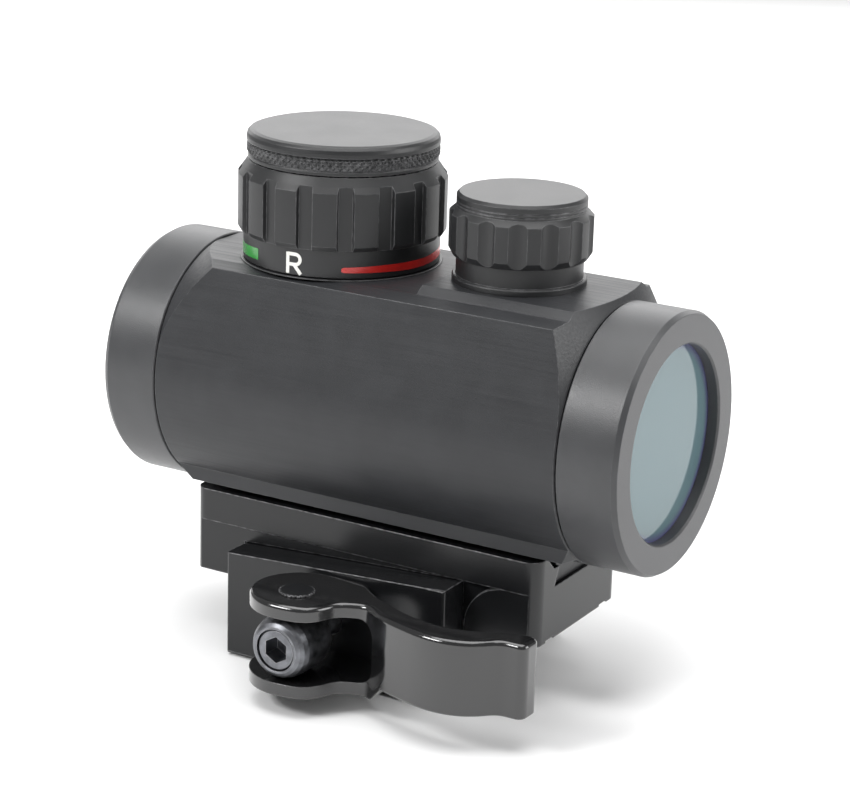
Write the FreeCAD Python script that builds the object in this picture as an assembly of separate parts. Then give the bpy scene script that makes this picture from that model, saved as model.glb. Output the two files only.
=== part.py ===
"""Compact tube red dot sight on a quick-detach rail clamp, one STEP per separate piece.

Frame, in millimetres: the origin is the centre of the flat seat that rests on the rail,
+Z is up, +Y points at the target and +X is to the shooter's right.
Heights called h are distances out from the optical axis.
"""
import FreeCAD
import Part
import math
import os

V = FreeCAD.Vector
UP = V(0, 0, 1)
RIGHT = V(1, 0, 0)
AHEAD = V(0, 1, 0)
FIT = 0.05                      # running clearance on a radius

# Tube
TUBE_LEN = 96.5
AXIS_Z = 33.8                   # optical axis above the rail seat
COLLAR_R = 21.5
COLLAR_FACE_R = 21.0
COLLAR_LEN = 10.35
GROOVE = 0.2
SPIGOT_R = 19.6                 # threaded spigot under each collar
SPIGOT_END = 5.4                # spigot end, measured in from the tube's end
BORE_R = 18.2
APERTURE_R = 16.2
LIP = 2.05
GLASS_R = 17.8
GLASS_T = 2.0

# Body
DECK_H = 21.1
CORNER = (17.3, 20.5)           # left upper corner of the section, from the axis
RIGHT_CORNER = (15.2, 20.85)
DECK_X = 14.2
SILL_X = 14.75                  # square rib along each lower side
SILL_H = 18.05
SHOULDER_R = 27.6
REAR_CONE = 3.9
FRONT_CONE = 10.1
PAD_H = 22.3                    # raised pad around the elevation turret
PAD_X = (-12.0, 10.9)
PAD_FOOT_X = (-13.9, 13.0)
PAD_FRONT_Y = -8.0
KEEL_TOP = (6.5, 13.3)          # half width and height of the dovetail keel's neck
KEEL_FOOT = (8.5, 9.0)

# Turrets
DIAL_Y = 14.75
DIAL_BAND_R = 16.4
DIAL_R = 17.4
FLUTE_R = 16.65
FLUTES = 16
POST_R = 14.2
CAP_R = 16.0
ADJ_Y = -18.95
ADJ_CAP_R = 11.6
ADJ_CAP_TOP = 36.8
CELL_CAP_TOP = 42.8
SCALLOPS = 14
SCALLOP_R = 2.3
INNER_R = 15.0
INNER_BORE = 13.6
PIVOT_Y = 34.75                 # the inner tube's gimbal

# Clamp
BASE_X = 14.8
BASE_Y = (-32.2, 34.0)
BASE_TOP = 14.6
STEP_Z = 9.05
FLANK = 0.25                    # depth of the left flank below the step
RECESS = 0.9                    # depth of the jaw's pocket in that flank
SEAT_X = 8.2
JAW_Y = (-18.55, 23.6)
JAW_X = 20.3
JAW_FOOT = -11.8
JAW_FALL = 2.4                  # drop of the jaw's top edge from rear to front
RAIL_HALF = 10.9                # notch apex, for a rail 21.2 wide
CLAW_X = 8.3
STUD_Y = 3.15
STUD_Z = -0.9
STUD_R = 2.4
SCREW_Y = (-20.0, 20.0)
PIN_X = -30.1
CAM_FLAT = 9.78                 # pivot pin to the face that bears on the jaw
CAM_PITCH = 0.78                # rise of the cam for each radian
CAM_SWEEP = 80
LEVER_TOP = 7.2
RIM = 0.9                       # rounding of the lever's upper edge
LEVER_FOOT = -8.4
HANDLE_FOOT = -5.4
BARREL_R = 5.35
BARREL = ((3.55, -36.3), (3.9, -36.3), (4.5, -35.9), (4.95, -35.2), (5.25, -34.2), (5.35, -33.0),
          (5.35, -29.0), (5.2, -27.9), (4.8, -27.0), (4.2, -26.4), (3.55, -26.2))

OPTICS = V(0, 0, AXIS_Z)


# ---------------------------------------------------------------- helpers
def moved(shape, origin=V(0, 0, 0), axis=UP):
    """A copy of shape with its local +Z laid along axis and its origin at origin."""
    out = shape.copy()
    place = FreeCAD.Placement(origin, FreeCAD.Rotation(UP, axis))
    out.Placement = place.multiply(out.Placement)
    return out


def turned(profile, origin=V(0, 0, 0), axis=UP):
    """A solid of revolution from (radius, height) points."""
    points = [V(r, 0, h) for r, h in profile]
    face = Part.Face(Part.makePolygon(points + points[:1]))
    return moved(face.revolve(V(0, 0, 0), UP, 360), origin, axis)


def ring(outer, inner, low, high, origin=V(0, 0, 0), axis=UP):
    return turned([(inner, low), (outer, low), (outer, high), (inner, high)], origin, axis)


def rod(radius, low, high, origin=V(0, 0, 0), axis=UP):
    return moved(Part.makeCylinder(radius, high - low, V(0, 0, low)), origin, axis)


def block(x, y, z):
    """A box from (low, high) pairs."""
    return Part.makeBox(x[1] - x[0], y[1] - y[0], z[1] - z[0], V(x[0], y[0], z[0]))


def prism(outline, y):
    """An (x, z) outline drawn out along Y between the pair y."""
    points = [V(px, y[0], pz) for px, pz in outline]
    face = Part.Face(Part.makePolygon(points + points[:1]))
    return face.extrude(V(0, y[1] - y[0], 0))


def sector(outer, inner, low, high, middle, half):
    """Part of a ring about Z, half degrees either side of the direction middle."""
    whole = Part.makeCylinder(outer, high - low, V(0, 0, low), UP, 2 * half)
    hole = Part.makeCylinder(inner, high - low, V(0, 0, low), UP, 2 * half)
    part = whole.cut(hole)
    part.rotate(V(0, 0, 0), UP, middle - half)
    return part


def around(shape, count):
    """Copies of shape spaced evenly about Z, as one compound."""
    copies = []
    for i in range(count):
        copy = shape.copy()
        copy.rotate(V(0, 0, 0), UP, 360.0 * i / count)
        copies.append(copy)
    return Part.makeCompound(copies)


def torus(major, minor, height, origin=V(0, 0, 0), axis=UP):
    return moved(Part.makeTorus(major, minor, V(0, 0, height)), origin, axis)


def coil(radius, wire, low, high, turns, origin=V(0, 0, 0), axis=UP):
    """A round-wire compression spring whose wire stays between low and high."""
    height = high - low - 2 * wire
    path = Part.makeHelix(height / turns, height, radius)
    circle = Part.Wire(Part.makeCircle(wire, V(radius, 0, 0), AHEAD))
    solid = Part.Wire(path).makePipeShell([circle], True, True)
    solid.translate(V(0, 0, low + wire))
    return moved(solid, origin, axis)


def hexagon(flats, low, high, origin, axis):
    corner = flats / math.sqrt(3)
    angles = [math.radians(60 * i) for i in range(6)]
    points = [V(corner * math.cos(a), corner * math.sin(a), low) for a in angles]
    face = Part.Face(Part.makePolygon(points + points[:1]))
    return moved(face.extrude(V(0, 0, high - low)), origin, axis)


# ---------------------------------------------------------------- tube and optics
def body_section():
    """Round bottom, sides leaning in to a flat deck with faintly sloped margins."""
    feet = []
    for x, h in (CORNER, RIGHT_CORNER):
        tangent = math.atan2(h, x) - math.acos(COLLAR_R / math.hypot(x, h))
        feet.append(V(COLLAR_R * math.cos(tangent), 0, COLLAR_R * math.sin(tangent)))
    left, right = V(-feet[0].x, 0, feet[0].z), feet[1]
    rim = [right, V(RIGHT_CORNER[0], 0, RIGHT_CORNER[1]), V(PAD_FOOT_X[1], 0, DECK_H)]
    rim += [V(-DECK_X, 0, DECK_H), V(-CORNER[0], 0, CORNER[1]), left]
    edges = [Part.makeLine(a, b) for a, b in zip(rim, rim[1:])]
    edges.append(Part.Arc(left, V(0, 0, -COLLAR_R), right).toShape())
    return Part.Face(Part.Wire(edges))


def main_housing():
    half = TUBE_LEN / 2 - COLLAR_LEN - GROOVE
    body = body_section().extrude(V(0, 2 * half, 0))
    body.translate(V(0, -half, 0))
    pad_outline = [(PAD_FOOT_X[0], DECK_H - 1), (PAD_FOOT_X[0], DECK_H), (PAD_X[0], PAD_H),
                   (PAD_X[1], PAD_H), (PAD_FOOT_X[1], DECK_H), (PAD_FOOT_X[1], DECK_H - 1)]
    adds = [prism(pad_outline, (-half, PAD_FRONT_Y))]
    for side in (-1, 1):
        sill = [(side * x, -h) for x, h in ((SILL_X, SILL_X), (SILL_X, SILL_H), (11, SILL_H), (11, SILL_X))]
        adds.append(prism(sill, (-half, half)))
    body = body.fuse(adds)
    lip = 0.2
    envelope = turned([(0, -half), (COLLAR_R - lip, -half), (COLLAR_R, lip - half),
                       (SHOULDER_R, REAR_CONE - half), (SHOULDER_R, half - FRONT_CONE),
                       (COLLAR_R, half - lip), (COLLAR_R - lip, half), (0, half)], axis=AHEAD)
    body = body.common(envelope)
    boss = rod(ADJ_CAP_R - 0.2, 0, PAD_H, V(0, ADJ_Y, 0), RIGHT)
    spigot_half = TUBE_LEN / 2 - SPIGOT_END
    spigots = rod(SPIGOT_R, -spigot_half, spigot_half, axis=AHEAD)
    body = body.fuse([boss, spigots])
    body.translate(OPTICS)
    keel = [(-KEEL_FOOT[0], KEEL_FOOT[1]), (-KEEL_TOP[0], KEEL_TOP[1]), (-KEEL_TOP[0], 15),
            (KEEL_TOP[0], 15), KEEL_TOP, KEEL_FOOT]
    body = body.fuse(prism(keel, (BASE_Y[0] + 0.7, BASE_Y[1] - 0.7)))
    cuts = [rod(BORE_R, -TUBE_LEN, TUBE_LEN, OPTICS, AHEAD),
            rod(POST_R - 0.6, 5, 30, OPTICS + V(0, DIAL_Y, 0)),
            rod(6.5, 5, 30, OPTICS + V(0, ADJ_Y, 0)),
            rod(6.5, 5, 30, OPTICS + V(0, ADJ_Y, 0), RIGHT),
            rod(0.8, -20, 20, OPTICS + V(0, PIVOT_Y, 0))]
    cuts += [rod(2.0, 8, 13.5, V(0, y, 0)) for y in SCREW_Y]
    return body.cut(cuts).removeSplitter()


def tube_end(side):
    """Pieces at one end of the tube: collar, glass, seal and threaded ring."""
    origin = OPTICS - AHEAD * (side * TUBE_LEN / 2)
    axis = AHEAD * side
    bore = SPIGOT_R + FIT
    collar = turned([(APERTURE_R + 0.3, 0), (COLLAR_FACE_R, 0), (COLLAR_R, 0.85),
                     (COLLAR_R, COLLAR_LEN - 0.2), (COLLAR_R - 0.2, COLLAR_LEN), (bore, COLLAR_LEN),
                     (bore, LIP), (APERTURE_R, LIP), (APERTURE_R, 0.3)], origin, axis)
    glass_back = LIP + 0.02 + GLASS_T
    chamfer = 0.3
    glass = turned([(0, LIP + 0.02), (GLASS_R - chamfer, LIP + 0.02), (GLASS_R, LIP + chamfer),
                    (GLASS_R, glass_back - chamfer), (GLASS_R - chamfer, glass_back), (0, glass_back)],
                   origin, axis)
    seal = ring(SPIGOT_R, GLASS_R + 0.05, LIP + 0.05, LIP + 1.6, origin, axis)
    threaded = ring(SPIGOT_R, APERTURE_R + 0.2, glass_back + 0.05, SPIGOT_END - 0.1)
    slot = block((-SPIGOT_R, SPIGOT_R), (-0.7, 0.7), (SPIGOT_END - 0.6, SPIGOT_END))
    threaded = moved(threaded.cut(slot), origin, axis)
    return collar, glass, seal, threaded


def inner_tube():
    """Carrier of the lens and the light source, hung in the gimbal at its front."""
    rear, front = -39.0, 37.5
    tube = ring(INNER_R, INNER_BORE, rear, front)
    seat = ring(INNER_BORE + 0.1, 12.6, 28.5, 30.45)
    tube = moved(tube.fuse(seat), OPTICS, AHEAD)
    pin_hole = rod(0.8, -20, 20, OPTICS + V(0, PIVOT_Y, 0), RIGHT)
    return tube.cut(pin_hole)


def collimator_lens():
    """A lens with a flat back and a shallow domed front."""
    r, back, front, dome = INNER_BORE - FIT, 30.5, 33.4, 1.1
    dome_r = (r * r + dome * dome) / (2 * dome)
    disc = Part.makeCylinder(r, front + dome - back, V(0, 0, back))
    lens = disc.common(Part.makeSphere(dome_r, V(0, 0, front + dome - dome_r)))
    return moved(lens, OPTICS, AHEAD)


def gimbal():
    ring_solid = ring(BORE_R - 0.2, INNER_R + 0.3, PIVOT_Y - 2.5, PIVOT_Y + 2.5, OPTICS, AHEAD)
    at = OPTICS + V(0, PIVOT_Y, 0)
    ring_solid = ring_solid.cut([rod(0.8 + FIT, -20, 20, at), rod(0.8 + FIT, -20, 20, at, RIGHT)])
    yaw = Part.makeCompound([rod(0.8, 16.3, 20, at), rod(0.8, -20, -16.3, at)])
    pitch = Part.makeCompound([rod(0.8, 13.9, 17.2, at, RIGHT), rod(0.8, -17.2, -13.9, at, RIGHT)])
    return ring_solid, yaw, pitch


def light_source():
    """LED block on the inner tube's wall, its die facing the lens, and its small board."""
    place = FreeCAD.Placement(OPTICS, FreeCAD.Rotation(UP, AHEAD))
    middle, rear, front = -55, -33.0, -28.0
    holder = sector(INNER_BORE - 0.02, 10.4, rear, front, middle, 15)
    turn = math.radians(middle)
    at = V(12.0 * math.cos(turn), 12.0 * math.sin(turn), 0)
    emitter = rod(0.9, front, front + 1.6, at)
    board = sector(INNER_BORE - 0.3, 10.6, rear - 0.9, rear - 0.05, middle, 13)
    for piece in (holder, emitter, board):
        piece.Placement = place.multiply(piece.Placement)
    return holder, emitter, board


def led_flex():
    """Flat lead from the switch board, back over the inner tube and round to the light source."""
    wide, narrow, thick = (5.6, 8.6), (5.6, 7.6), 0.3
    front, rear, end = DIAL_Y - 5.5, -41.0, -34.6
    over, inside = AXIS_Z + 15.4, AXIS_Z + 9.3
    rise = block(wide, (front, front + thick), (over, AXIS_Z + 27.45))
    run = block(wide, (rear, front + thick), (over, over + thick))
    drop = block(wide, (rear, rear + thick), (inside, over))
    tail = block(narrow, (rear, end), (inside, inside + thick))
    return run.fuse([rise, drop, tail])


def return_spring():
    """Leaf that pushes the inner tube against both adjusters, from the lower left."""
    leaf = sector(BORE_R - 0.25, BORE_R - 0.65, ADJ_Y - 3, ADJ_Y + 3, 135, 34)
    crown = sector(BORE_R - 0.5, INNER_R + 0.06, ADJ_Y - 3, ADJ_Y + 3, 135, 3)
    return moved(leaf.fuse(crown), OPTICS, AHEAD)


# ---------------------------------------------------------------- brightness turret
def turret_post():
    """Fixed hub: board chamber below, cell chamber above, dial turning round it."""
    low = 18.9
    post = turned([(12.3, low), (POST_R - 0.6, low), (POST_R - 0.6, DECK_H), (16.9, DECK_H),
                   (16.9, 21.2), (16.8, 21.3), (POST_R, 21.3), (POST_R, 37.3), (13.8, 37.3), (13.8, 37.8),
                   (POST_R, 37.8), (POST_R, 37.95), (12.45, 37.95), (12.45, 34.3), (7.5, 34.3),
                   (7.5, 32.5), (1.5, 32.5), (1.5, 31.0), (11.0, 31.0), (11.0, 28.75), (12.3, 28.75)])
    wiper_slot = sector(15.0, 10.0, 28.95, 30.25, 180, 158)
    ball_hole = rod(1.1, 12.0, 15.0, V(0, 0, 24.0), AHEAD)
    return post.cut([wiper_slot, ball_hole])


def brightness_dial():
    dial = turned([(POST_R + FIT, 21.4), (16.25, 21.4), (DIAL_BAND_R, 21.55), (DIAL_BAND_R, 26.0),
                   (16.9, 26.0), (DIAL_R, 26.8), (DIAL_R, 35.5), (FLUTE_R, 36.5), (15.7, 37.85),
                   (15.6, 37.85), (15.6, 37.25), (POST_R + FIT, 37.25)])
    outer = DIAL_R + 0.6
    outline = [V(FLUTE_R, -1.15, 26), V(outer, -1.6, 26), V(outer, 1.6, 26), V(FLUTE_R, 1.15, 26)]
    flute = Part.Face(Part.makePolygon(outline + outline[:1])).extrude(V(0, 0, 12))
    flute.rotate(V(0, 0, 0), UP, 180.0 / FLUTES)
    track = ring(14.75, POST_R, 22.9, 25.1)
    notch = rod(0.9, 22.9, 25.1, V(14.4, 0, 0))
    seat = wiper_blank()
    return dial.cut([around(flute, FLUTES), track, around(notch, 12), seat])


def wiper_blank():
    return block((-15.4, -8.5), (-0.8, 0.8), (29.15, 29.95))


def contact_wiper():
    """Contact arm set in the dial, reaching through the post's slot to the board."""
    tip = rod(0.6, 28.72, 29.2, V(-9.4, 0, 0))
    return wiper_blank().fuse(tip)


def dial_snap_ring():
    return sector(15.4, 13.85, 37.32, 37.78, 180, 168)


def battery_cap():
    return turned([(0, CELL_CAP_TOP), (14.8, CELL_CAP_TOP), (15.45, 42.6), (15.85, 42.2), (CAP_R, 41.6),
                   (CAP_R, 40.95), (15.6, 40.8), (15.6, 38.75), (15.75, 38.6), (15.75, 38.1), (15.65, 38.0),
                   (12.4, 38.0), (12.4, 37.2), (11.75, 37.2), (11.75, 36.3), (12.4, 36.3), (12.4, 34.4), (11.0, 34.4), (11.0, 37.9),
                   (0, 37.9)])


def coin_cell():
    return turned([(0, 34.62), (9.2, 34.62), (9.3, 34.9), (9.8, 34.95), (10.0, 35.2), (10.0, 37.6),
                   (9.8, 37.82), (0, 37.82)])


def cell_contact():
    """Conical spring washer under the cell."""
    return turned([(2.0, 32.55), (6.8, 34.3), (6.8, 34.58), (2.0, 32.83)])


def switch_board():
    disc = rod(12.2, 27.5, 28.7)
    chips = [block((-4, 2), (-3, 3), (26.7, 27.5)), block((-8.5, -6), (2, 4), (26.9, 27.5)),
             rod(1.8, 25.9, 27.5, V(1, -7, 0))]
    return disc.fuse(chips)


def detent_spring():
    leaf = sector(12.25, 11.9, 23.0, 25.0, 90, 38)
    nub = rod(0.7, 12.0, 12.44, V(0, 0, 24.0), AHEAD)
    return leaf.fuse(nub)


def brightness_turret():
    pieces = {"turret_post": turret_post(), "brightness_dial": brightness_dial(),
              "contact_wiper": contact_wiper(), "dial_snap_ring": dial_snap_ring(),
              "battery_cap": battery_cap(), "battery_cap_seal": torus(12.1, 0.32, 36.75),
              "coin_cell": coin_cell(), "cell_spring": cell_contact(),
              "switch_board": switch_board(),
              "board_clip": sector(12.25, 10.6, 26.6, 27.45, 0, 168),
              "detent_ball": Part.makeSphere(1.04, V(0, 13.5, 24.0)),
              "detent_spring": detent_spring()}
    for shape in pieces.values():
        shape.translate(OPTICS + V(0, DIAL_Y, 0))
    return pieces


# ---------------------------------------------------------------- windage and elevation
def adjuster(axis):
    """One adjuster: base, slotted screw, plunger, scalloped cap and cap seal."""
    base = turned([(STUD_R + FIT, 18.3), (6.5, 18.3), (6.5, PAD_H), (10.9, PAD_H), (10.9, 23.2),
                   (10.7, 23.4), (10.3, 23.4), (10.3, 26.5), (9.25, 26.5), (9.25, 31.2), (7.6, 31.2),
                   (7.6, 27.3), (4.6, 27.3), (4.6, 22.4), (STUD_R + FIT, 22.4)])
    screw = turned([(STUD_R + FIT, 22.6), (4.55, 22.6), (4.55, 27.35), (7.5, 27.35), (7.5, 30.0),
                    (7.3, 30.2), (0, 30.2), (0, 26.8), (STUD_R + FIT, 26.8)])
    screw = screw.cut(block((-8, 8), (-0.6, 0.6), (29.2, 31)))
    plunger = turned([(0, INNER_R + 0.03), (1.6, INNER_R + 0.03), (STUD_R, 15.8), (STUD_R, 25.6), (0, 25.6)])
    cap = turned([(10.2, 26.6), (10.9, 26.6), (ADJ_CAP_R, 27.7), (ADJ_CAP_R, 33.5), (10.5, 34.4),
                  (10.5, 34.75), (10.38, 34.85), (10.5, 34.95), (10.5, 35.3), (10.38, 35.4), (10.5, 35.5),
                  (10.5, 36.3), (10.05, ADJ_CAP_TOP), (0, ADJ_CAP_TOP), (0, 33.6), (9.35, 33.6), (9.35, 27.5),
                  (10.2, 27.5)])
    scallop = rod(SCALLOP_R, 26, 36, V(ADJ_CAP_R - 0.65 + SCALLOP_R, 0, 0))
    cap = cap.cut(around(scallop, SCALLOPS))
    seal = torus(9.75, 0.38, 27.0)
    at = OPTICS + V(0, ADJ_Y, 0)
    return [moved(piece, at, axis) for piece in (base, screw, plunger, cap, seal)]


# ---------------------------------------------------------------- quick-detach clamp
def claw(side):
    """The hooked lower half of a jaw, as (x, z) points; side is -1 or +1."""
    points = [(JAW_X, JAW_FOOT + 0.6), (JAW_X - 0.6, JAW_FOOT), (CLAW_X + 0.6, JAW_FOOT),
              (CLAW_X, JAW_FOOT + 0.6), (CLAW_X, -5.4), (RAIL_HALF, -2.8)]
    return [(side * x, z) for x, z in points]


def stud_bore(radius, x):
    return rod(radius, x[0], x[1], V(0, STUD_Y, STUD_Z), RIGHT)


def corner_relief(radius):
    """What is cut away to round an upright corner whose arc is centred on the origin."""
    square = block((0, radius + 0.1), (0, radius + 0.1), (-1, BASE_TOP + 1))
    return square.cut(rod(radius, -2, BASE_TOP + 2))


def mount_base():
    rear, front = BASE_Y
    shoulder, lip, lip_z = 11.3, 8.9, 12.2
    floor = KEEL_FOOT[1] - 0.02
    slope = (KEEL_FOOT[0] - KEEL_TOP[0]) / (KEEL_TOP[1] - KEEL_FOOT[1])
    lip_x = KEEL_FOOT[0] - slope * (lip_z - KEEL_FOOT[1]) + FIT
    floor_x = KEEL_FOOT[0] + FIT
    right = [(BASE_X, 0), (BASE_X, BASE_TOP), (shoulder, BASE_TOP), (lip, lip_z), (lip_x, lip_z),
             (floor_x, floor)]
    left = [(-x, z) for x, z in reversed(right)]
    base = prism(right + left, BASE_Y)
    corners = ((1, front, 2.2, 0), (-1, front, 2.2, 90), (-1, rear, 2.6, 180), (1, rear, 2.6, 270))
    for side, end, radius, turn in corners:
        relief = corner_relief(radius)
        relief.rotate(V(0, 0, 0), UP, turn)
        inward = radius if end < 0 else -radius
        relief.translate(V(side * (BASE_X - radius), end + inward, 0))
        base = base.cut(relief)
    base = base.cut(block((-BASE_X - 1, FLANK - BASE_X), (rear - 1, front + 1), (-1, STEP_Z)))
    pocket_y = (JAW_Y[0] - 0.5, JAW_Y[1] + 0.3)
    back = RECESS - BASE_X
    outline = [V(back, pocket_y[0], -1), V(back, pocket_y[1], -1),
               V(back, pocket_y[1], STEP_Z - JAW_FALL), V(back, pocket_y[0], STEP_Z)]
    pocket = Part.Face(Part.makePolygon(outline + outline[:1])).extrude(V(-RECESS - 1, 0, 0))
    sweep = 7.6
    tail_y = (pocket_y[0] - sweep, pocket_y[0])
    tail = block((-BASE_X - 1, back), tail_y, (STEP_Z - sweep, STEP_Z))
    tail = tail.cut(rod(sweep, -BASE_X - 2, 0, V(0, tail_y[0], STEP_Z - sweep), RIGHT))
    base = base.cut(pocket.fuse(tail))
    jaw = [(BASE_X - 1, 7.0), (JAW_X - 0.6, 7.0), (JAW_X, 6.4)] + claw(1)
    jaw += [(RAIL_HALF, 0.0), (BASE_X - 1, 0.0)]
    base = base.fuse(prism(jaw, JAW_Y))
    cuts = [stud_bore(STUD_R + 0.1, (-BASE_X - 1, JAW_X + 1)),
            hexagon(8.1, 17.0, JAW_X + 1, V(0, STUD_Y, STUD_Z), RIGHT),
            block((-SEAT_X - 1, SEAT_X + 1), (STUD_Y - 2.6, STUD_Y + 2.6), (-0.2, 0.5)),
            block((SEAT_X, RAIL_HALF), (rear - 1, front + 1), (-0.2, 0.35)),
            block((-RAIL_HALF, -SEAT_X), (rear - 1, front + 1), (-0.2, 0.35))]
    for y in SCREW_Y:
        cuts += [rod(3.6, -1, 4.2, V(0, y, 0)), rod(2.1, 4, 10, V(0, y, 0))]
    return base.cut(cuts).removeSplitter()


def base_screws():
    screws = []
    for y in SCREW_Y:
        screw = turned([(0, 0.15), (3.3, 0.15), (3.5, 0.35), (3.5, 4.2), (2.0, 4.2), (2.0, 13.2), (0, 13.2)])
        screw = screw.cut(hexagon(3.0, 0, 2.4, V(0, 0, 0), UP))
        screw.translate(V(0, y, 0))
        screws.append(screw)
    return Part.makeCompound(screws)


def clamp_jaw():
    """Sliding jaw; its top edge falls slightly towards the front."""
    back_x, top = RECESS - FIT - BASE_X, STEP_Z - 0.15
    outline = [(back_x, top), (-JAW_X + 0.3, top), (-JAW_X, top - 0.3)] + claw(-1)
    outline += [(-RAIL_HALF, -FIT), (back_x, -FIT)]
    jaw = prism(outline, JAW_Y)
    wedge = [V(-JAW_X - 1, JAW_Y[0], top), V(-JAW_X - 1, JAW_Y[1], top - JAW_FALL),
             V(-JAW_X - 1, JAW_Y[1], top + 1)]
    jaw = jaw.cut(Part.Face(Part.makePolygon(wedge + wedge[:1])).extrude(V(JAW_X, 0, 0)))
    jaw = jaw.cut([stud_bore(STUD_R + 0.1, (-JAW_X - 1, 0)), stud_bore(3.7, (-16.95, 0))])
    ends = [e for e in jaw.Edges if abs(e.CenterOfMass.x + JAW_X) < 0.01 and e.Length > 10
            and abs(e.CenterOfMass.y - STUD_Y) > 10]
    return jaw.makeFillet(0.5, ends)


def cam_barrel():
    """Trunnion on the stud's end; the lever's two stub pins turn in it."""
    barrel = turned(BARREL, V(0, STUD_Y, STUD_Z), RIGHT)
    return barrel.cut(rod(1.8 + FIT, -10, 10, V(PIN_X, STUD_Y, 0)))


def tension_screw():
    """Cross stud: hex socket in the barrel's end, thin shank across the rail, thread in the nut."""
    at = V(0, STUD_Y, STUD_Z)
    low, high = BARREL[0][1] + 0.25, BARREL[-1][1]
    screw = turned([(0, low), (3.2, low), (3.5, low + 0.3), (3.5, high + 0.8), (STUD_R, high + 1.9),
                    (STUD_R, 19.6), (STUD_R - 0.4, 20.0), (0, 20.0)], at, RIGHT)
    return screw.cut(hexagon(3.9, low - 1, low + 3.4, at, RIGHT))


def stud_nut():
    at = V(0, STUD_Y, STUD_Z)
    return hexagon(8.0, 17.05, 20.1, at, RIGHT).cut(stud_bore(STUD_R + FIT, (10, 25)))


def lever_pins():
    """Two stub pins pressed in the lever's ears; the upper one has a knurled head."""
    reach = BARREL_R - 1.35
    head = LEVER_TOP + 0.4
    upper = turned([(0, STUD_Z + reach), (1.8, STUD_Z + reach), (1.8, LEVER_TOP), (2.95, LEVER_TOP),
                    (2.95, head - 0.15), (2.6, head), (0, head)])
    tooth = block((2.75, 3.2), (-0.12, 0.12), (LEVER_TOP - 0.1, LEVER_TOP + 1))
    upper = upper.cut(around(tooth, 24))
    lower = rod(1.8, LEVER_FOOT, STUD_Z - reach)
    pins = Part.makeCompound([upper, lower])
    pins.translate(V(PIN_X, STUD_Y, 0))
    return pins


def cam_point(angle):
    """A point of the cam's face, its normal turned by angle (in radians) from the jaw's."""
    rise = CAM_FLAT - CAM_PITCH * angle
    c, s = math.cos(angle), math.sin(angle)
    return (PIN_X + rise * c + CAM_PITCH * s, STUD_Y + rise * s - CAM_PITCH * c)


def smooth(points, start, finish):
    """A curve through (x, y) points with given end directions, spaced by chord length."""
    points = [V(x, y, 0) for x, y in points]
    travel = [0.0]
    for a, b in zip(points, points[1:]):
        travel.append(travel[-1] + a.distanceToPoint(b))
    curve = Part.BSplineCurve()
    curve.interpolate(Points=points, Parameters=travel, InitialTangent=start, FinalTangent=finish,
                      Scale=False)
    return curve.toShape()


def lever_outline():
    """Plan view: cam ears round the pin, a narrow waist, then an S-curved thumb handle."""
    steps = 8
    cam = [cam_point(math.radians(CAM_SWEEP * i / steps)) for i in range(steps + 1)]
    ear = [(PIN_X + x, STUD_Y + y) for x, y in ((-1.205, 8.055), (-4.681, 5.621), (-6.475, 1.774))]
    outer = [(-36.5, 1.0), (-35.9, -1.3), (-34.9, -2.7), (-32.9, -3.9), (-30.7, -5.2), (-29.6, -7.0),
             (-29.1, -8.9), (-29.5, -10.5), (-30.4, -12.0), (-31.5, -13.7), (-32.5, -16.2), (-33.2, -18.5),
             (-34.0, -21.7), (-34.25, -24.9), (-33.8, -27.8), (-32.7, -30.3), (-31.0, -32.4), (-29.7, -34.0),
             (-29.45, -35.9), (-29.4, -38.2)]
    inner = [(-24.2, -38.4), (-25.0, -35.0), (-25.9, -32.6), (-27.3, -29.0), (-28.4, -26.0), (-28.8, -23.0),
             (-28.5, -19.5), (-27.4, -15.5), (-25.4, -11.0), (-22.6, -6.6), (PIN_X + CAM_FLAT, -2.9)]
    rim = smooth(cam + ear + outer, AHEAD, -AHEAD)
    end = Part.makeLine(V(outer[-1][0], outer[-1][1], 0), V(inner[0][0], inner[0][1], 0))
    back = smooth(inner, V(-0.22, 0.975, 0), AHEAD)
    flat = Part.makeLine(V(PIN_X + CAM_FLAT, -2.9, 0), V(cam[0][0], cam[0][1], 0))
    return Part.Face(Part.Wire([rim, end, back, flat]))


def edges_at(shape, z):
    return [e for e in shape.Edges if abs(e.CenterOfMass.z - z) < 0.01]


def qd_lever():
    face = lever_outline()
    face.translate(V(0, 0, LEVER_FOOT))
    lever = face.extrude(V(0, 0, LEVER_TOP - LEVER_FOOT))
    tip = [e for e in lever.Edges if abs(e.tangentAt(e.FirstParameter).z) > 0.9 and e.CenterOfMass.y < -30]
    lever = lever.makeFillet(1.5, tip)
    lever = lever.makeFillet(RIM, edges_at(lever, LEVER_TOP))
    step_y, slope_y = -10.8, -13.6
    under = [V(-40, slope_y, HANDLE_FOOT), V(-40, step_y, LEVER_FOOT), V(-40, step_y, LEVER_FOOT - 1),
             V(-40, -45, LEVER_FOOT - 1), V(-40, -45, HANDLE_FOOT)]
    lever = lever.cut(Part.Face(Part.makePolygon(under + under[:1])).extrude(V(25, 0, 0)))
    lever = lever.makeFillet(0.4, edges_at(lever, HANDLE_FOOT))
    web_y = -11.0
    slot = block((-40, -15), (web_y, 15), (STUD_Z - BARREL_R - FIT, STUD_Z + BARREL_R + 0.35))
    slot_edges = [e for e in slot.Edges if abs(e.CenterOfMass.y - web_y) < 0.01 and e.Length > 20]
    lever = lever.cut(slot.makeFillet(3.2, slot_edges))
    return lever.cut(rod(1.8, -20, 20, V(PIN_X, STUD_Y, 0)))


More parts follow.
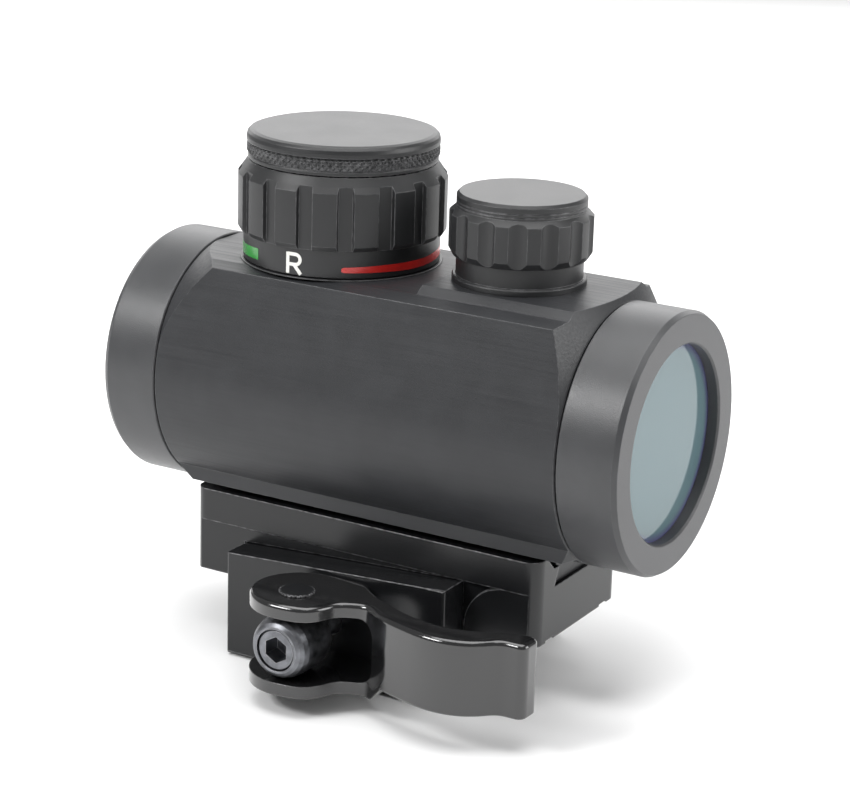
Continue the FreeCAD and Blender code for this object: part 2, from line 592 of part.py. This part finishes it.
# ---------------------------------------------------------------- all pieces
def pieces():
    out = {"main_housing": main_housing(), "inner_tube": inner_tube(), "collimator_lens": collimator_lens(),
           "lens_ring": ring(INNER_BORE - FIT, 12.0, 34.7, 36.6, OPTICS, AHEAD),
           "led_flex": led_flex(), "return_spring": return_spring()}
    for name, side in (("rear", 1), ("front", -1)):
        kinds = ("collar", "window", "window_seal", "retaining_ring")
        for kind, shape in zip(kinds, tube_end(side)):
            out[name + "_" + kind] = shape
    out["gimbal_ring"], out["yaw_pins"], out["pitch_pins"] = gimbal()
    out["led_holder"], out["led_emitter"], out["led_board"] = light_source()
    out.update(brightness_turret())
    for name, axis in (("elevation", UP), ("windage", RIGHT)):
        kinds = ("base", "screw", "plunger", "cap", "cap_seal")
        for kind, shape in zip(kinds, adjuster(axis)):
            out[name + "_" + kind] = shape
    out.update({"mount_base": mount_base(), "base_screws": base_screws(), "clamp_jaw": clamp_jaw(),
                "jaw_spring": coil(3.1, 0.35, -16.9, -13.95, 2.5, V(0, STUD_Y, STUD_Z), RIGHT),
                "cam_barrel": cam_barrel(), "tension_screw": tension_screw(), "stud_nut": stud_nut(),
                "lever_pins": lever_pins(), "qd_lever": qd_lever()})
    return out


os.makedirs("parts", exist_ok=True)
for node, shape in pieces().items():
    assert shape.isValid(), node
    shape.exportStep("parts/" + node + ".step")
    print(node, len(shape.Solids), round(shape.Volume, 2))
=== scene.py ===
"""Looks of a compact tube red dot sight on a quick-detach rail clamp."""
import math

import bmesh
import bpy
from mathutils import Matrix, Vector


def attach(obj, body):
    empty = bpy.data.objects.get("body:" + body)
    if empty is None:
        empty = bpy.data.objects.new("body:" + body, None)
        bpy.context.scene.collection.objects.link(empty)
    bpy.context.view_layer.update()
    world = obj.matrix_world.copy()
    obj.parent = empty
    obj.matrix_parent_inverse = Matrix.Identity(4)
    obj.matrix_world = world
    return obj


MM = 0.001
AXIS_Z = 33.8                       # optical axis above the rail seat, mm
DIAL = Vector((0.0, 14.75, AXIS_Z))  # foot of the brightness turret's axis, mm
FLOOR_Z = -12.05 * MM

# marks on the dial's smooth band, mm
BAND_R = 16.4
MARK_LIFT = 0.035
MARK_SINK = -0.03
LETTER_ANGLE = 184.3
LETTER_FOOT = 21.68
# ramps as (angle from +X, low, high) above the axis
RED_RAMP = ((212.0, 22.62, 23.12), (213.5, 22.44, 23.32), (237.0, 22.36, 23.52), (254.0, 22.22, 23.52),
            (268.0, 22.25, 23.52), (288.0, 22.4, 23.8), (312.0, 22.4, 24.1), (336.0, 22.4, 24.5))
GREEN_RAMP = ((58.0, 22.9, 23.2), (100.0, 22.5, 23.6), (127.5, 22.1, 23.85), (155.0, 22.5, 24.38),
              (156.0, 22.6, 24.3))

# knurl on the battery cap's rim, mm
KNURL_TEETH = 84
KNURL_LOW, KNURL_HIGH = 38.78, 40.78
KNURL_FOOT, KNURL_DEPTH = 15.6, 0.36

# materials
BUMP_DEPTH = 0.00002
EDGE_DOT = (0.86, 0.995)            # rounded against true normal, from lightened edge (part wear, part painted highlight) to flat face
RIM_TINT_R = (0.0148, 0.0163)       # radii over which the windows' tint turns purple, m

# camera
CAMERA_AT = (-0.35642, -0.20797, 0.16109)
CAMERA_RIGHT = (0.5076, -0.8611, 0.0288)
CAMERA_AHEAD = (0.8264, 0.4771, -0.2992)
SENSOR_WIDTH = 36.0
FOCAL_RATIO = 2589.6 / 850          # focal length over sensor width

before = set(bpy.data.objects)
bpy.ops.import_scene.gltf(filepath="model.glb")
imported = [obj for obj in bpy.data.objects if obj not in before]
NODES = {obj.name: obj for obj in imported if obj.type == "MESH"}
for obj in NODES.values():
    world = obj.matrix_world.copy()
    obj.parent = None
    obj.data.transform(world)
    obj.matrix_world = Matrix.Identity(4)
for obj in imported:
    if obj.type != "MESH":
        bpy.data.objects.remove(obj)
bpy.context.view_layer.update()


# ---------------------------------------------------------------- node helpers
class Maker:
    """Short names for building one material's node tree."""

    def __init__(self, name):
        self.mat = bpy.data.materials.new(name)
        self.mat.use_nodes = True
        self.tree = self.mat.node_tree
        self.tree.nodes.clear()
        self.out = self.node("ShaderNodeOutputMaterial")

    def node(self, kind, **props):
        node = self.tree.nodes.new(kind)
        for key, value in props.items():
            setattr(node, key, value)
        return node

    def link(self, source, target):
        self.tree.links.new(source, target)

    def feed(self, socket, value):
        """Links a socket, or sets anything else as the value."""
        if isinstance(value, bpy.types.NodeSocket):
            self.link(value, socket)
        else:
            socket.default_value = value

    def put(self, node, **inputs):
        """Feeds inputs by name."""
        for key, value in inputs.items():
            self.feed(node.inputs[key.replace("_", " ")], value)
        return node

    def coords(self, stretch=(1, 1, 1)):
        where = self.node("ShaderNodeTexCoord")
        place = self.node("ShaderNodeMapping")
        place.inputs["Scale"].default_value = stretch
        self.link(where.outputs["Object"], place.inputs["Vector"])
        return place.outputs["Vector"]

    def noise(self, scale, detail=3.0, stretch=(1, 1, 1)):
        node = self.node("ShaderNodeTexNoise")
        self.put(node, Vector=self.coords(stretch), Scale=scale, Detail=detail)
        return node.outputs["Fac"]

    def remap(self, value, low, high, to_low=0.0, to_high=1.0):
        node = self.node("ShaderNodeMapRange")
        self.put(node, Value=value, From_Min=low, From_Max=high, To_Min=to_low, To_Max=to_high)
        return node.outputs["Result"]

    def math(self, kind, a, b):
        node = self.node("ShaderNodeMath", operation=kind)
        for socket, value in zip(node.inputs, (a, b)):
            self.feed(socket, value)
        return node.outputs["Value"]

    def mix(self, factor, a, b):
        """Colour mix of a and b."""
        node = self.node("ShaderNodeMix", data_type="RGBA")
        for index, value in ((0, factor), (6, a), (7, b)):
            self.feed(node.inputs[index], value)
        return node.outputs[2]

    def mottle(self, value, low, high, tint, dark, light):
        """Tint that drifts between dark and light multiples of itself."""
        return self.mix(self.remap(value, low, high), scaled(tint, dark), scaled(tint, light))

    def bump(self, height, strength, normal=None):
        node = self.node("ShaderNodeBump")
        self.put(node, Height=height, Strength=strength, Distance=BUMP_DEPTH)
        if normal is not None:
            self.link(normal, node.inputs["Normal"])
        return node.outputs["Normal"]

    def edges(self, radius):
        """(rounded normal, 0..1 mask of sharp edges)"""
        bevel = self.node("ShaderNodeBevel", samples=6)
        bevel.inputs["Radius"].default_value = radius
        shape = self.node("ShaderNodeNewGeometry")
        dot = self.node("ShaderNodeVectorMath", operation="DOT_PRODUCT")
        self.link(bevel.outputs["Normal"], dot.inputs[0])
        self.link(shape.outputs["Normal"], dot.inputs[1])
        return bevel.outputs["Normal"], self.remap(dot.outputs["Value"], *EDGE_DOT, 1.0, 0.0)

    def surface(self, **inputs):
        shader = self.put(self.node("ShaderNodeBsdfPrincipled"), **inputs)
        self.link(shader.outputs["BSDF"], self.out.inputs["Surface"])
        return self.mat


def rgb(r, g, b):
    return (r, g, b, 1.0)


def scaled(tint, factor):
    return rgb(*[min(1, c * factor) for c in tint])


def coated_metal(name, tint, rough, grain=0.35, wear_and_glint=0.35, round_mm=0.22, streak=0.0, coat=0.0, spec=0.5):
    """Dark anodised or painted metal: fine bead-blast grain, softened edges, edges lightened in colour as
    part wear, part painted highlight.
    """
    m = Maker(name)
    normal, edge = m.edges(round_mm * MM)
    fine = m.noise(7000, 2.0)
    cloud = m.noise(160, 4.0)
    patch = m.noise(900, 3.0)
    # edges lightened toward grey: part edge wear, part painted highlight along the edge
    edge_wear_and_glint = m.math("MULTIPLY", m.math("MULTIPLY", edge, m.remap(patch, 0.35, 0.7, 0.15, 1.0)), wear_and_glint)
    shade = m.mix(edge_wear_and_glint, m.mottle(cloud, 0.35, 0.65, tint, 0.93, 1.08), rgb(0.30, 0.30, 0.31))
    roughness = m.remap(cloud, 0.3, 0.7, rough - 0.012, rough + 0.015)
    bumped = m.bump(fine, grain, normal)
    if streak:
        lines = m.noise(2600, 2.0, (1.0, 0.02, 1.0))
        roughness = m.math("ADD", roughness, m.remap(lines, 0.3, 0.7, -streak, streak))
        bumped = m.bump(lines, streak, bumped)
    return m.surface(Base_Color=shade, Roughness=roughness, Normal=bumped, Metallic=0.0,
                     Specular_IOR_Level=spec, Coat_Weight=coat, Coat_Roughness=0.12)


def bare_metal(name, tint, rough, wear_and_glint=0.5):
    """Plain turned or stamped metal with faint stains and edges lightened in colour as part wear, part
    painted highlight.
    """
    m = Maker(name)
    normal, edge = m.edges(0.15 * MM)
    stain = m.noise(700, 5.0)
    fine = m.noise(9000, 2.0)
    shade = m.mottle(stain, 0.35, 0.7, tint, 0.7, 1.3)
    # edges lightened toward bright grey: part wear, part painted highlight
    shade = m.mix(m.math("MULTIPLY", edge, wear_and_glint), shade, rgb(0.55, 0.55, 0.56))
    return m.surface(Base_Color=shade, Metallic=1.0, Normal=m.bump(fine, 0.25, normal),
                     Roughness=m.remap(stain, 0.3, 0.7, rough - 0.06, rough + 0.1))


def plain(name, tint, rough, spec=0.5, grain=0.2):
    """Rubber, board, film, plastic or ink."""
    m = Maker(name)
    cloud = m.noise(300, 4.0)
    return m.surface(Base_Color=m.mottle(cloud, 0.3, 0.7, tint, 0.85, 1.12), Specular_IOR_Level=spec,
                     Roughness=m.remap(cloud, 0.3, 0.7, rough - 0.05, rough + 0.05),
                     Normal=m.bump(m.noise(5000, 2.0), grain))


def window_glass(name):
    """Coated window: part mirror, part see-through, with a cool tint."""
    m = Maker(name)
    facing = m.node("ShaderNodeLayerWeight")
    facing.inputs["Blend"].default_value = 0.35
    haze = m.noise(220, 3.0)
    span = m.node("ShaderNodeVectorMath", operation="LENGTH")
    offset = m.node("ShaderNodeVectorMath", operation="SUBTRACT")
    offset.inputs[1].default_value = (0.0, 0.0, AXIS_Z * MM)
    m.link(m.coords((1, 0, 1)), offset.inputs[0])
    m.link(offset.outputs["Vector"], span.inputs[0])
    rim = m.remap(span.outputs["Value"], *RIM_TINT_R)
    tint = m.mix(rim, rgb(0.125, 0.20, 0.22), rgb(0.11, 0.10, 0.24))
    clear = m.node("ShaderNodeBsdfTransparent")
    clear.inputs["Color"].default_value = rgb(0.55, 0.66, 0.68)
    sheen = m.put(m.node("ShaderNodeBsdfPrincipled"), Base_Color=tint,
                  Roughness=m.remap(haze, 0.3, 0.7, 0.05, 0.09), Specular_IOR_Level=0.9)
    blend = m.node("ShaderNodeMixShader")
    m.link(m.remap(facing.outputs["Facing"], 0.0, 1.0, 0.72, 0.9), blend.inputs[0])
    m.link(clear.outputs["BSDF"], blend.inputs[1])
    m.link(sheen.outputs["BSDF"], blend.inputs[2])
    m.link(blend.outputs["Shader"], m.out.inputs["Surface"])
    return m.mat


# ---------------------------------------------------------------- materials for the CAD nodes
def paint_nodes():
    body = coated_metal("body_anodised", (0.026, 0.027, 0.0295), 0.42, grain=1.0, streak=0.06, wear_and_glint=0.6,
                        spec=0.42)
    collar = coated_metal("collar_anodised", (0.045, 0.046, 0.049), 0.34, grain=1.5, wear_and_glint=0.5, spec=0.55)
    knob = coated_metal("knob_anodised", (0.017, 0.0175, 0.0185), 0.38, grain=0.8, wear_and_glint=0.7)
    mount = coated_metal("mount_anodised", (0.010, 0.0105, 0.0115), 0.25, grain=0.3, wear_and_glint=1.3,
                         round_mm=0.32, spec=0.45)
    lever = coated_metal("lever_gloss", (0.008, 0.008, 0.0085), 0.12, grain=0.06, wear_and_glint=0.5,
                         round_mm=0.3, coat=1.0)
    inner = coated_metal("inner_matte", (0.010, 0.010, 0.011), 0.7, grain=0.5, wear_and_glint=0.0)
    worn = bare_metal("worn_steel", (0.19, 0.195, 0.21), 0.38, wear_and_glint=0.8)
    steel = bare_metal("bright_steel", (0.52, 0.52, 0.53), 0.25)
    brass = bare_metal("turned_brass", (0.60, 0.44, 0.18), 0.28)
    rubber = plain("seal_rubber", (0.015, 0.015, 0.015), 0.75, grain=0.6)
    board = plain("board_green", (0.01, 0.09, 0.03), 0.45)
    film = plain("lead_film", (0.40, 0.17, 0.03), 0.4)
    led = plain("led_red", (0.45, 0.02, 0.015), 0.15, spec=0.7)
    glass = window_glass("coated_window")
    groups = [
        (body, "main_housing"),
        (collar, "rear_collar front_collar"),
        (knob, "turret_post brightness_dial battery_cap elevation_base elevation_cap windage_base"
               " windage_cap"),
        (mount, "mount_base clamp_jaw lever_pins"),
        (lever, "qd_lever"),
        (inner, "inner_tube lens_ring gimbal_ring rear_retaining_ring front_retaining_ring led_holder"),
        (worn, "cam_barrel tension_screw stud_nut base_screws"),
        (steel, "detent_ball detent_spring dial_snap_ring board_clip return_spring jaw_spring coin_cell"
                " yaw_pins pitch_pins"),
        (brass, "elevation_screw elevation_plunger windage_screw windage_plunger contact_wiper cell_spring"),
        (rubber, "rear_window_seal front_window_seal battery_cap_seal elevation_cap_seal windage_cap_seal"),
        (board, "switch_board led_board"),
        (film, "led_flex"),
        (led, "led_emitter"),
        (glass, "rear_window front_window collimator_lens"),
    ]
    for material, names in groups:
        for name in names.split():
            for slot in NODES[name].material_slots:
                slot.material = material


# ---------------------------------------------------------------- pieces on the dial
def round_dial(turn, radius, height):
    """A point round the dial's axis, in metres: radians from +X, mm out, mm above the optical axis."""
    return Vector((radius * math.cos(turn), DIAL.y + radius * math.sin(turn), DIAL.z + height)) * MM


def on_band(angle, height, lift):
    """A point by the dial's smooth band: degrees from +X, mm above the optical axis, mm off the band."""
    return round_dial(math.radians(angle), BAND_R + lift, height)


def new_piece(name, verts, faces, material, body):
    mesh = bpy.data.meshes.new(name)
    mesh.from_pydata(verts, [], faces)
    work = bmesh.new()
    work.from_mesh(mesh)
    bmesh.ops.recalc_face_normals(work, faces=work.faces)
    work.to_mesh(mesh)
    work.free()
    obj = bpy.data.objects.new(name, mesh)
    bpy.context.scene.collection.objects.link(obj)
    mesh.materials.append(material)
    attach(obj, body)


def inlay(name, rungs, material, lift=MARK_LIFT):
    """A thin raised mark along the band, from rungs of two (angle, height) points each."""
    verts = []
    for a, b in rungs:
        verts += [on_band(*a, lift), on_band(*b, lift), on_band(*b, MARK_SINK), on_band(*a, MARK_SINK)]
    faces = []
    for i in range(len(rungs) - 1):
        base = 4 * i
        for k in range(4):
            n = (k + 1) % 4
            faces.append((base + k, base + n, base + 4 + n, base + 4 + k))
    last = 4 * (len(rungs) - 1)
    faces += [(0, 1, 2, 3), (last + 3, last + 2, last + 1, last)]
    new_piece(name, verts, faces, material, "dial")


def ramp(stations, step=2.0):
    """Rungs every step degrees through (angle, low, high) stations."""
    rungs = []
    for (a0, l0, h0), (a1, l1, h1) in zip(stations, stations[1:]):
        count = max(1, round((a1 - a0) / step))
        for i in range(count):
            t = i / count
            angle = a0 + (a1 - a0) * t
            rungs.append(((angle, l0 + (l1 - l0) * t), (angle, h0 + (h1 - h0) * t)))
    angle, low, high = stations[-1]
    rungs.append(((angle, low), (angle, high)))
    return rungs


def stroke(name, path, width, material, lift):
    """A pen stroke of the dial's letter, along (across, up) points in mm."""
    rungs = []
    for i, (x, z) in enumerate(path):
        x0, z0 = path[max(i - 1, 0)]
        x1, z1 = path[min(i + 1, len(path) - 1)]
        run = math.hypot(x1 - x0, z1 - z0)
        nx, nz = -(z1 - z0) / run * width / 2, (x1 - x0) / run * width / 2
        pair = []
        for sx, sz in ((x + nx, z + nz), (x - nx, z - nz)):
            pair.append((LETTER_ANGLE + math.degrees(sx / BAND_R), LETTER_FOOT + sz))
        rungs.append(pair)
    inlay(name, rungs, material, lift)


def dial_marks():
    white = plain("mark_white", (0.80, 0.80, 0.76), 0.5)
    red = plain("mark_red", (0.62, 0.018, 0.014), 0.22, spec=0.7, grain=0.1)
    green = plain("mark_green", (0.03, 0.30, 0.045), 0.25, spec=0.7, grain=0.1)
    inlay("mark_red_ramp", ramp(RED_RAMP), red)
    inlay("mark_green_ramp", ramp(GREEN_RAMP), green)
    bowl = [(-1.2, 3.25), (0.2, 3.25)]
    for i in range(1, 12):
        turn = math.pi / 2 - math.pi * i / 12
        bowl.append((0.2 + 0.85 * math.cos(turn), 2.4 + 0.85 * math.sin(turn)))
    bowl += [(0.2, 1.55), (-1.2, 1.55)]
    stroke("mark_letter_stem", [(-1.2, 0.0), (-1.2, 1.8), (-1.2, 3.5)], 0.6, white, MARK_LIFT)
    stroke("mark_letter_bowl", bowl, 0.58, white, 0.03)
    stroke("mark_letter_leg", [(0.0, 1.5), (0.6, 0.75), (1.2, 0.0)], 0.62, white, 0.025)


def cap_knurl():
    """Fine diamond knurl round the battery cap's rim."""
    per, rows = 6, 12
    columns = KNURL_TEETH * per
    tall = KNURL_HIGH - KNURL_LOW
    pitch = 2 * math.pi * KNURL_FOOT / KNURL_TEETH
    verts = []
    for j in range(rows + 1):
        up = j / rows
        along = up * tall / pitch
        fade = min(1.0, 6 * up, 6 * (1 - up))
        for i in range(columns):
            across = i / per
            a = abs(((across + along) % 1.0) * 2 - 1)
            b = abs(((across - along) % 1.0) * 2 - 1)
            radius = KNURL_FOOT + KNURL_DEPTH * min(1.0, 1.5 * min(1 - a, 1 - b)) * fade + 0.01
            verts.append(round_dial(2 * math.pi * i / columns, radius, KNURL_LOW + tall * up))
    for edge in (KNURL_LOW, KNURL_HIGH):
        for i in range(columns):
            verts.append(round_dial(2 * math.pi * i / columns, KNURL_FOOT - 0.2, edge))
    faces = []
    order = [rows + 1] + list(range(rows + 1)) + [rows + 2]
    for lower, upper in zip(order, order[1:] + order[:1]):
        for i in range(columns):
            n = (i + 1) % columns
            faces.append((lower * columns + i, lower * columns + n,
                          upper * columns + n, upper * columns + i))
    new_piece("battery_cap_knurl", verts, faces, bpy.data.materials["knob_anodised"], "battery_cover")


# ---------------------------------------------------------------- stage
def studio():
    world = bpy.data.worlds.new("studio")
    bpy.context.scene.world = world
    world.use_nodes = True
    back = world.node_tree.nodes["Background"]
    back.inputs["Color"].default_value = rgb(1.0, 1.0, 1.0)
    back.inputs["Strength"].default_value = 0.32
    mesh = bpy.data.meshes.new("floor")
    side = 3.0
    corners = [(x * side, y * side, FLOOR_Z) for x, y in ((-1, -1), (1, -1), (1, 1), (-1, 1))]
    mesh.from_pydata(corners, [], [(0, 1, 2, 3)])
    floor = bpy.data.objects.new("floor", mesh)
    bpy.context.scene.collection.objects.link(floor)
    m = Maker("floor_white")
    mesh.materials.append(m.surface(Base_Color=rgb(0.92, 0.92, 0.92), Roughness=0.9, Specular_IOR_Level=0.1))


def area_light(name, at, aim, size, power, size_y=None):
    data = bpy.data.lights.new(name, "AREA")
    data.energy = power
    data.size = size
    if size_y:
        data.shape = "RECTANGLE"
        data.size_y = size_y
    obj = bpy.data.objects.new(name, data)
    bpy.context.scene.collection.objects.link(obj)
    obj.location = Vector(at)
    obj.rotation_euler = (Vector(aim) - Vector(at)).to_track_quat("-Z", "Y").to_euler()


def camera():
    right = Vector(CAMERA_RIGHT).normalized()
    ahead = Vector(CAMERA_AHEAD).normalized()
    up = right.cross(ahead).normalized()
    data = bpy.data.cameras.new("camera")
    data.sensor_width = SENSOR_WIDTH
    data.sensor_fit = "HORIZONTAL"
    data.lens = FOCAL_RATIO * SENSOR_WIDTH
    obj = bpy.data.objects.new("camera", data)
    turn = Matrix((right, up, -ahead)).transposed().to_4x4()
    obj.matrix_world = Matrix.Translation(CAMERA_AT) @ turn
    bpy.context.scene.collection.objects.link(obj)
    bpy.context.scene.camera = obj


paint_nodes()
dial_marks()
cap_knurl()
studio()
area_light("top", (0.0, 0.0, 0.9), (0, 0, 0.03), 0.9, 8.5)
area_light("back", (0.56, 0.33, 0.34), (0, 0, 0.04), 1.0, 3.2, 0.5)
area_light("left", (-0.45, 0.29, 0.44), (0, 0, 0.03), 0.26, 2.5, 0.14)
area_light("right", (0.22, -0.70, 0.30), (0, 0, 0.03), 0.5, 3.0, 0.4)
camera()
bpy.context.scene.view_settings.view_transform = "Standard"
